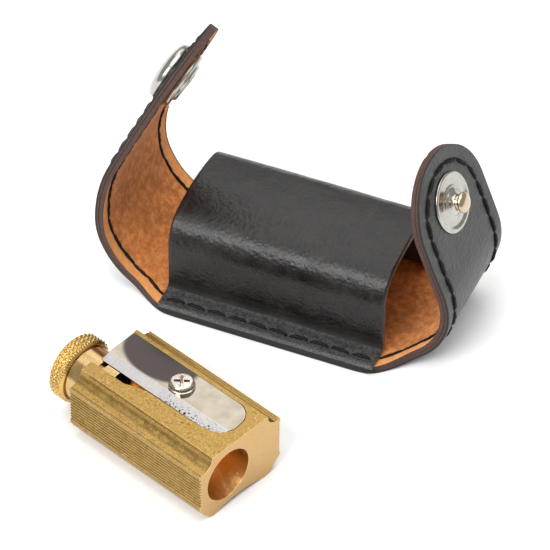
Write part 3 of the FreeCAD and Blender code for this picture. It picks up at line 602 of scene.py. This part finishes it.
def punched(piece, place):
    """Cut the round hole that the snap's tube and the stud's head pass through."""
    # turned a little, so that none of its corners falls on a line of the strap's grid
    place = place @ Matrix.Rotation(math.radians(1.7), 4, "Z")
    place.translation = place.translation * MM
    form = bmesh.new()
    size = {"radius1": SNAP_HOLE_R * MM, "radius2": SNAP_HOLE_R * MM, "depth": 4 * STRAP_THICK * MM}
    bmesh.ops.create_cone(form, cap_ends=True, segments=64, matrix=place, **size)
    shape = bpy.data.meshes.new("punch")
    form.to_mesh(shape)
    form.free()
    punch = bpy.data.objects.new("punch", shape)
    bpy.context.scene.collection.objects.link(punch)
    cut = piece.modifiers.new("punch", "BOOLEAN")
    cut.object, cut.operation, cut.solver = punch, "DIFFERENCE", "EXACT"
    made = piece.evaluated_get(bpy.context.evaluated_depsgraph_get())
    mesh = bpy.data.meshes.new_from_object(made)
    piece.modifiers.clear()
    piece.data = mesh
    bpy.data.objects.remove(punch)
    return mesh


def keep_normals(mesh, points, normals):
    """Give the points of the layer the whole layer's normals; points that a cut added get their own."""
    tree = KDTree(len(points))
    for index, point in enumerate(points):
        tree.insert(Vector(point) * MM, index)
    tree.balance()
    wanted = []
    for vertex in mesh.vertices:
        _, index, distance = tree.find(vertex.co)
        normal = Vector(normals[index]) if distance < 1e-6 else Vector()
        wanted.append(-normal if normal.dot(vertex.normal) < 0 else normal)
    mesh.normals_split_custom_set_from_vertices(wanted)


def strap_pieces(flap, layer, near, far, face, edge):
    """Three stretches of a layer with matching normals, cut apart between the joints."""
    rows, columns, points, faces, data, is_edge = layer_mesh(flap, near, far)
    normals = vertex_normals(points, faces)
    nearest = [int(np.argmin([abs(r - limit) for r in rows])) for limit in cut_runs(flap)[1:-1]]
    row_cut = [0] + nearest + [len(rows) - 1]
    replaced = [["%s_%s_%s" % (flap.side, part, layer)] for part in ("lower", "upper", "tab")]
    replaced[0].insert(0, "base_" + layer)
    # on these layers the grid's own order of corners would face inward
    inward = (flap is RIGHT) == (near < far)
    for index, (a, b) in enumerate(zip(row_cut, row_cut[1:])):
        keep = slice(a * columns, (b + 1) * columns)
        own = grid_faces(b - a + 1, columns, closed=True)
        slots = [1 if sum(is_edge[keep][list(f)]) > 2 else 0 for f in own]
        last = (b - a) * columns
        own += [tuple(range(columns))[::-1], tuple(range(last, last + columns))]
        slots += [1, 1]
        if inward:
            own = [f[::-1] for f in own]
        piece = mesh_piece("%s_%s_%d" % (flap.side, layer, index), points[keep], own, [face, edge], slots)
        mesh = piece.data
        strap = mesh.attributes.new("strap", "FLOAT_VECTOR", "POINT")
        strap.data.foreach_set("vector", data[keep][:, :3].ravel())
        mesh.attributes.new("hem", "FLOAT", "POINT").data.foreach_set("value", data[keep][:, 3].copy())
        if index == 2 and flap is LEFT:
            mesh = punched(piece, flap.frame(flap.snap_at, STRAP_THICK / 2))
        keep_normals(mesh, points[keep], normals[keep])
        start, end = hinge_span(flap, index)
        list(flap_bodies(flap)[index])
        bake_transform(piece)
        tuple(start)
        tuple(end)
        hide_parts(*replaced[index])


# --------------------------------------------------------------------- thread
THREAD_R, FLAP_PITCH = 0.26, 3.05
# run at which the grain face is clear of the floor, and its stitches begin
CLEAR_RUN = 2.2


def cord_mesh(name, paths):
    """Short lengths of two-ply cord; each path is a list of (point, up) in millimetres."""
    around, points, faces = 10, [], []
    for index, path in enumerate(paths):
        base = len(points)
        spots = [p for p, _ in path]
        for k, (spot, up) in enumerate(path):
            ahead = spots[min(k + 1, len(spots) - 1)] - spots[max(k - 1, 0)]
            side = ahead.cross(up).normalized()
            top = side.cross(ahead).normalized()
            share = k / (len(path) - 1)
            taper = 0.55 + 0.45 * math.sin(math.pi * min(max(share, 0.04), 0.96)) ** 0.5
            spin = share * 7.0 + index
            for j in range(around):
                angle = 2 * math.pi * j / around
                ply = 0.72 + 0.28 * abs(math.cos(angle - spin))
                r = THREAD_R * taper * ply
                points.append(spot + side * (r * math.cos(angle) * 1.15) + top * (r * math.sin(angle)))
        faces += [tuple(base + i for i in f) for f in grid_faces(len(path), around, closed=True)]
        faces.append(tuple(range(base, base + around))[::-1])
        last = base + (len(path) - 1) * around
        faces.append(tuple(range(last, last + around)))
    return mesh_piece(name, points, faces, [thread])


def stitch_path(place, length, lift, sink):
    """Points along one stitch and the way up at each; place(t, height) gives a spot at t along it."""
    path = []
    for k in range(11):
        t = -1 + 2 * k / 10
        height = lift - (lift + sink) * abs(t) ** 5
        spot, above = place(t * length / 2, height), place(t * length / 2, height + 1.0)
        path.append((spot, (above - spot).normalized()))
    return path


def seam_runs(flap):
    """Seam holes along one edge, round the tip and back, as (run, across) positions."""
    radius = flap.tab - SEAM_INSET
    along = []
    run = flap.tip_at
    while run > -2.5:
        along.append(run)
        run -= FLAP_PITCH
    along = along[::-1]
    near = [(r, -(flap.half_width(r) - SEAM_INSET)) for r in along]
    tip_count = round(math.pi * radius / FLAP_PITCH)
    tip = []
    for k in range(1, tip_count):
        a = math.pi * k / tip_count
        tip.append((flap.tip_at + radius * math.sin(a), -radius * math.cos(a)))
    far = [(r, flap.half_width(r) - SEAM_INSET) for r in reversed(along)]
    return near + tip + far


def flap_seam(flap):
    """Stitches on both faces of a flap: bold on the grain face, a tight line on the suede."""
    holes = seam_runs(flap)
    groups = {0: [], 1: [], 2: []}
    limits = cut_runs(flap)
    for number, (a, b) in enumerate(zip(holes, holes[1:])):
        middle = (a[0] + b[0]) / 2
        index = 0 if middle < limits[1] else 1 if middle < limits[2] else 2
        wander = 0.16 * math.sin(number * 2.3)

        def on_strap(share, drift, depth, a=a, b=b):
            return flap.place(a[0] + (b[0] - a[0]) * share, a[1] + (b[1] - a[1]) * share + drift, depth)

        def on_face(t, height, wander=wander, on_strap=on_strap):
            return on_strap(t + 0.5, -wander * t, -height)

        def on_suede(t, height, wander=wander, on_strap=on_strap):
            return on_strap(t + 0.5, wander * (t + 0.5), STRAP_THICK + height)

        if min(a[0], b[0]) > CLEAR_RUN:
            groups[index].append(stitch_path(on_face, 0.98, 0.05, 0.26))
        groups[index].append(stitch_path(on_suede, 1.02, -0.04, 0.10))
    for index, paths in groups.items():
        part = ("lower", "upper", "tab")[index]
        piece = cord_mesh("%s_seam_%d" % (flap.side, index), paths)
        start, end = hinge_span(flap, index)
        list(flap_bodies(flap)[index])
        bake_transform(piece)
        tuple(start)
        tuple(end)
        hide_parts("%s_%s_stitching" % (flap.side, part))


for flap in (RIGHT, LEFT):
    strap_pieces(flap, "leather", 0.0, LEATHER, black_strap, strap_edge)
    strap_pieces(flap, "lining", STRAP_THICK, LEATHER, suede_face, strap_edge)
    flap_seam(flap)

# --------------------------------------------------------------------- sleeve
MOUTH, WALL, TOP_Z, SHELL = 16.4, 9.7, 14.85, 0.95
CORNER_R, CROWN_R, FLANGE_TOP, HEEL = 4.7, 30.0, 2.1, 1.0
SEAM_Y, SEAM_PITCH, SEAM_COUNT = 12.15, 3.15, 10


def sleeve_profile():
    """Right half of the sleeve's outer line from crown to flange rim, as (y, z, normal_y, normal_z)."""
    crown_z, centre_y = TOP_Z - CROWN_R, WALL - CORNER_R
    centre_z = crown_z + math.sqrt((CROWN_R - CORNER_R) ** 2 - centre_y ** 2)
    touch = math.atan2(centre_z - crown_z, centre_y)
    line = []
    for a in np.linspace(math.pi / 2, touch, 12):
        y, z = math.cos(a), math.sin(a)
        line.append((CROWN_R * y, crown_z + CROWN_R * z, y, z))
    for a in np.linspace(touch, 0, 16)[1:]:
        y, z = math.cos(a), math.sin(a)
        line.append((centre_y + CORNER_R * y, centre_z + CORNER_R * z, y, z))
    for z in np.linspace(centre_z, FLANGE_TOP + HEEL, 14)[1:]:
        line.append((WALL, z, 1.0, 0.0))
    for a in np.linspace(0, math.pi / 2, 9)[1:]:
        y = WALL + HEEL - HEEL * math.cos(a)
        line.append((y, FLANGE_TOP + HEEL - HEEL * math.sin(a), math.cos(a), math.sin(a)))
    for y in np.linspace(WALL + HEEL, STRAP_HALF, 16)[1:]:
        line.append((y, FLANGE_TOP, 0.0, 1.0))
    return line


def seam_dent(x, y):
    """How far the sleeve's flange is pulled down by its stitches."""
    aside = (abs(y) - SEAM_Y) / 0.55
    phase = (x / SEAM_PITCH + (SEAM_COUNT - 1) / 2.0 + 0.5) % 1.0
    hole = math.exp(-(((min(phase, 1 - phase)) * SEAM_PITCH / 0.42) ** 2))
    groove = math.exp(-(aside ** 2))
    if abs(x) > 16.0:
        groove *= 0.4
    return groove * (0.10 + 0.18 * hole)


def make_sleeve():
    """The sleeve as one closed shell: outer face, dented along the seams, inner face and cut ends."""
    half = sleeve_profile()
    outline = [(-y, z, -ny, nz) for y, z, ny, nz in reversed(half[1:])] + half
    stations = [-MOUTH, -MOUTH + 0.05, -MOUTH + 0.16] + list(np.linspace(-MOUTH + 0.4, MOUTH - 0.4, 118))
    stations += [MOUTH - 0.16, MOUTH - 0.05, MOUTH]
    lips = {0: 0.16, 1: 0.07, 2: 0.015}
    points = []
    for i, x in enumerate(stations):
        inset = lips.get(i, lips.get(len(stations) - 1 - i, 0.0))
        outer, inner = [], []
        for y, z, ny, nz in outline:
            wave = 0.07 * noise.noise(Vector((x * 0.10, y * 0.16, z * 0.16)))
            wave += 0.025 * noise.noise(Vector((x * 0.4, y * 0.5, z * 0.5 + 7)))
            dent = seam_dent(x, y) if z < FLANGE_TOP + HEEL else 0.0
            rim = 0.12 * smooth(abs(y), STRAP_HALF - 0.15, STRAP_HALF)
            push = wave - dent - inset - rim
            outer.append((x, y + ny * push, z + nz * push))
            inner.append((x, y - ny * SHELL, max(z - nz * SHELL, STRAP_THICK + 0.02)))
        points += outer + inner[::-1]
    columns = 2 * len(outline)
    faces = grid_faces(len(stations), columns, closed=True)
    slots = []
    for i in range(len(stations) - 1):
        for j in range(columns):
            edge = j in (len(outline) - 1, columns - 1)
            slots.append(1 if edge else 2 if j >= len(outline) else 0)
    last = (len(stations) - 1) * columns
    count = len(outline)
    for j in range(count - 1):
        faces.append((j, columns - 1 - j, columns - 2 - j, j + 1))
        faces.append((last + j, last + j + 1, last + columns - 2 - j, last + columns - 1 - j))
        slots += [1, 1]
    materials = [black_sleeve, sleeve_cut_edge(), sleeve_inside()]
    piece = mesh_piece("sleeve_shell", points, faces, materials, slots)
    split_sharp(piece, 50)
    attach(piece, "case")
    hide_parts("sleeve")


def sleeve_cut_edge():
    """Dark grey fibre of the sleeve's cut rims."""
    shade = Shade("sleeve_cut_edge", roughness=0.5)
    fibre = shade.noise(shade.place(), 3.0, 4.0, 0.7)
    colour = shade.mix(shade.ramp(fibre, 0.35, 0.7), (0.030, 0.029, 0.029), (0.13, 0.126, 0.124))
    shade.set("Base Color", colour)
    shade.set("Normal", shade.bump(fibre, 0.05))
    return shade.material


def sleeve_inside():
    """Rough, nearly black flesh side of the sleeve's leather."""
    shade = Shade("sleeve_inside", roughness=0.85)
    nap = shade.noise(shade.place(), 1.6, 5.0, 0.7)
    colour = shade.mix(shade.ramp(nap, 0.3, 0.75), (0.020, 0.010, 0.009), (0.055, 0.030, 0.026))
    shade.set("Base Color", colour)
    shade.set("Normal", shade.bump(nap, 0.08))
    return shade.material


make_sleeve()
for name, sign in (("sleeve_front_stitching", -1), ("sleeve_back_stitching", 1)):
    paths = []
    for k in range(SEAM_COUNT):
        middle = (k - (SEAM_COUNT - 1) / 2) * SEAM_PITCH
        wander = 0.10 * math.sin(k * 1.9 + sign)

        def on_flange(t, height, middle=middle, sign=sign, wander=wander):
            return Vector((middle + t, sign * (SEAM_Y + wander * t), FLANGE_TOP + height))

        paths.append(stitch_path(on_flange, 2.75, 0.02, 0.42))
    piece = cord_mesh(name.replace("stitching", "seam"), paths)
    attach(piece, "case")
    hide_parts(name)

# ------------------------------------------------------------ snap fastener
SNAP_R, TUBE_R = 4.38, 2.2
# a turned profile stops this far from its axis
POLE = 0.001


def stud():
    """Flanged plate with a necked, round-headed stud."""
    rim = [(SNAP_R - 0.12, 0.0), (SNAP_R, 0.10), (SNAP_R - 0.02, 0.26), (SNAP_R - 0.18, 0.36)]
    rim += [(SNAP_R - 0.55, 0.37), (SNAP_R - 0.85, 0.22), (SNAP_R - 1.0, 0.14)]
    neck = [(2.55, 0.16), (2.35, 0.26), (2.05, 0.30), (1.75, 0.55), (1.3, 0.72), (1.10, 0.95), (1.06, 1.25)]
    centre, radius, half = 1.94, 1.5, 0.62
    angles = np.linspace(-0.95, 1.45, 14)
    head = [(radius * math.cos(a) ** 0.8, centre + half * math.sin(a)) for a in angles]
    profile = [(0.95, -0.1), (0.95, 0.0)] + rim + neck + head + [(POLE, centre + half)]
    fine = rounded(profile, 0.12, 3)
    slots = [1 if min(a[1], b[1]) > 1.0 else 0 for a, b in zip(fine, fine[1:])]
    place = RIGHT.frame(RIGHT.snap_at, 0.0)
    return lathe("snap_stud_turned", fine, place, [snap_silver, snap_warm], slots=slots)


def rivet():
    """Shallow head on the suede side, and the shank that holds the stud."""
    shank, head = 0.9, 3.2
    profile = [(POLE, -0.3), (2.2, -0.3), (2.9, -0.2), (head, -0.06), (head, 0.0), (shank, 0.0)]
    profile += [(shank, 2.2), (POLE, 2.2)]
    place = RIGHT.frame(RIGHT.snap_at, STRAP_THICK)
    return lathe("stud_rivet_turned", rounded(profile, 0.12, 3), place, [snap_silver])


def cap():
    """Domed cap on a foot, with the tube that passes through the strap."""
    foot, rim_low, rim_high, top, bore = SNAP_R - 0.55, 0.45, 0.75, 2.1, 1.9
    profile = [(bore, -1.7), (TUBE_R, -1.7), (TUBE_R, 0.0), (foot, 0.0), (foot, rim_low)]
    profile += [(SNAP_R, rim_low), (SNAP_R, rim_high)]
    for a in np.linspace(0.08, 1.0, 14):
        swell = math.sin(a * math.pi / 2)
        profile.append((SNAP_R * math.cos(a * math.pi / 2) ** 0.75, rim_high + (top - rim_high) * swell))
    profile[-1] = (POLE, top)
    profile += [(POLE, 1.7), (bore, 1.5), (bore, -1.7)]
    return lathe("snap_cap_turned", rounded(profile, 0.08, 3), LEFT.frame(LEFT.snap_at, 0.0), [snap_silver])


def socket():
    """Ring with a rolled rim, the stud's hole and the groove for the spring."""
    hole, groove, seat = 1.85, 2.35, TUBE_R + 0.05
    profile = [(seat, 0.0), (SNAP_R - 0.15, 0.0), (SNAP_R, -0.2), (SNAP_R, -0.55), (SNAP_R - 0.25, -0.86)]
    profile += [(SNAP_R - 0.8, -0.86), (SNAP_R - 1.25, -0.74), (hole + 1.15, -1.05), (hole + 0.95, -1.28)]
    profile += [(hole + 0.15, -1.3), (hole, -1.18), (hole, -1.12), (groove, -1.12), (groove, -0.68)]
    profile += [(hole, -0.68), (hole, -0.55), (seat, -0.55), (seat, 0.0)]
    place = LEFT.frame(LEFT.snap_at, STRAP_THICK)
    return lathe("snap_socket_turned", rounded(profile, 0.1, 3), place, [snap_silver])


for made, body, name in (
    (stud(), "right_flap_tab", "snap_stud"),
    (rivet(), "right_flap_tab", "stud_rivet"),
    (cap(), "left_flap_tab", "snap_cap"),
    (socket(), "left_flap_tab", "snap_socket"),
):
    split_sharp(made, 40)
    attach(made, body)
    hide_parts(name)

# ------------------------------------------------------------------ sharpener
BARREL_Y, BARREL_Z = -1.97, 6.22
KNOB_GAP, KNOB_WIDTH, KNOB_R, KNOB_CHAMFER = 2.7, 2.65, 4.9, 0.42
SPIGOT_R, SPIGOT_LENGTH = 1.47, 2.0
knob_spot = Matrix.Translation((-KNOB_GAP, BARREL_Y, BARREL_Z))
knob_place = LIE @ knob_spot @ Matrix.Rotation(math.radians(90), 4, "Y")


def knurl(radius, height, angle):
    """Diamond teeth on the knob's rim."""
    if radius < KNOB_R - 0.01:
        return 0.0
    turns, rise = 34, 34 / (2 * math.pi * KNOB_R)
    phase = angle * turns / (2 * math.pi)
    a = abs(((phase + height * rise * 1.6) % 1.0) - 0.5) * 2
    b = abs(((phase - height * rise * 1.6) % 1.0) - 0.5) * 2
    return 0.10 - 0.26 * max(a, b) ** 2.0


rim = [(KNOB_R, h) for h in np.linspace(-KNOB_WIDTH + KNOB_CHAMFER, -KNOB_CHAMFER, 24)]
profile = [(POLE, -KNOB_WIDTH), (KNOB_R - KNOB_CHAMFER, -KNOB_WIDTH), (KNOB_R - 0.14, -KNOB_WIDTH + 0.26)]
profile += rim + [(KNOB_R - 0.14, -0.26), (KNOB_R - KNOB_CHAMFER, 0.0)]
profile += [(SPIGOT_R, 0.0), (SPIGOT_R, SPIGOT_LENGTH), (POLE, SPIGOT_LENGTH)]
knob = lathe("adjuster_knob_knurled", profile, knob_place, [brass_knurled], segments=340, wobble=knurl)
split_sharp(knob, 35)
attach(knob, "adjuster")
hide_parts("adjuster_knob")

for name, material in (
    ("sharpener_body", brass_block),
    ("stop_barrel", brass_turned),
    ("retaining_screw", brass_turned),
    ("blade", blade_finish()),
    ("blade_screw", nickel),
    ("socket_spring", spring_wire),
):
    mesh = nodes[name].data
    mesh.materials.clear()
    mesh.materials.append(material)

# ------------------------------------------------------- floor, light, camera
floor_shade = Shade("floor_white", roughness=0.9)
speckle = floor_shade.noise(floor_shade.place(), 0.05, 2.0)
floor_shade.set("Base Color", floor_shade.mix(speckle, (0.93, 0.93, 0.93), (0.95, 0.95, 0.95)))
bpy.ops.mesh.primitive_plane_add(size=6.0, location=(0, 0, 0))
floor = bpy.context.object
floor.name = "floor"
floor.data.materials.append(floor_shade.material)

world = bpy.data.worlds.new("studio")
bpy.context.scene.world = world
world.use_nodes = True
world.node_tree.nodes["Background"].inputs["Color"].default_value = (1.0, 0.99, 0.98, 1.0)
world.node_tree.nodes["Background"].inputs["Strength"].default_value = 0.46


def softbox(name, place, size, power):
    """A rectangular light that points at the middle of the object; place and size in metres."""
    light = bpy.data.lights.new(name, "AREA")
    light.shape, light.size, light.size_y = "RECTANGLE", size[0], size[1]
    light.energy = power
    lamp = bpy.data.objects.new(name, light)
    bpy.context.scene.collection.objects.link(lamp)
    lamp.location = place
    lamp.rotation_euler = (Vector((0, 0, 0.01)) - Vector(place)).to_track_quat("-Z", "Y").to_euler()


softbox("overhead_box", (0.05, 0.10, 1.00), (1.3, 1.1), 8.6)
softbox("front_box", (-0.17, -0.52, 0.52), (0.46, 0.36), 4.2)
softbox("back_box", (-0.25, 0.70, 0.60), (0.9, 0.4), 1.4)

AZIMUTH, ELEVATION, ROLL, DISTANCE = 22.697, 43.016, 0.526, 636.72
SENSOR_WIDTH, FOCAL_LENGTH = 36.0, 290.65
az, el, roll = (math.radians(v) for v in (AZIMUTH, ELEVATION, ROLL))
back = Vector((math.sin(az) * math.cos(el), -math.cos(az) * math.cos(el), math.sin(el)))
right = Vector((math.cos(az), math.sin(az), 0))
up = back.cross(right)
right, up = right * math.cos(roll) + up * math.sin(roll), up * math.cos(roll) - right * math.sin(roll)
aim = Vector((-4.198, 0.406, 0))
lens = bpy.data.cameras.new("camera")
lens.sensor_width, lens.lens = SENSOR_WIDTH, FOCAL_LENGTH
lens.clip_start, lens.clip_end = 0.01, 20.0
camera = bpy.data.objects.new("camera", lens)
bpy.context.scene.collection.objects.link(camera)
turn = Matrix((right, up, back)).transposed().to_4x4()
turn.translation = (aim + back * DISTANCE) * MM
camera.matrix_world = turn
bpy.context.scene.camera = camera
bpy.context.scene.view_settings.view_transform = "Standard"
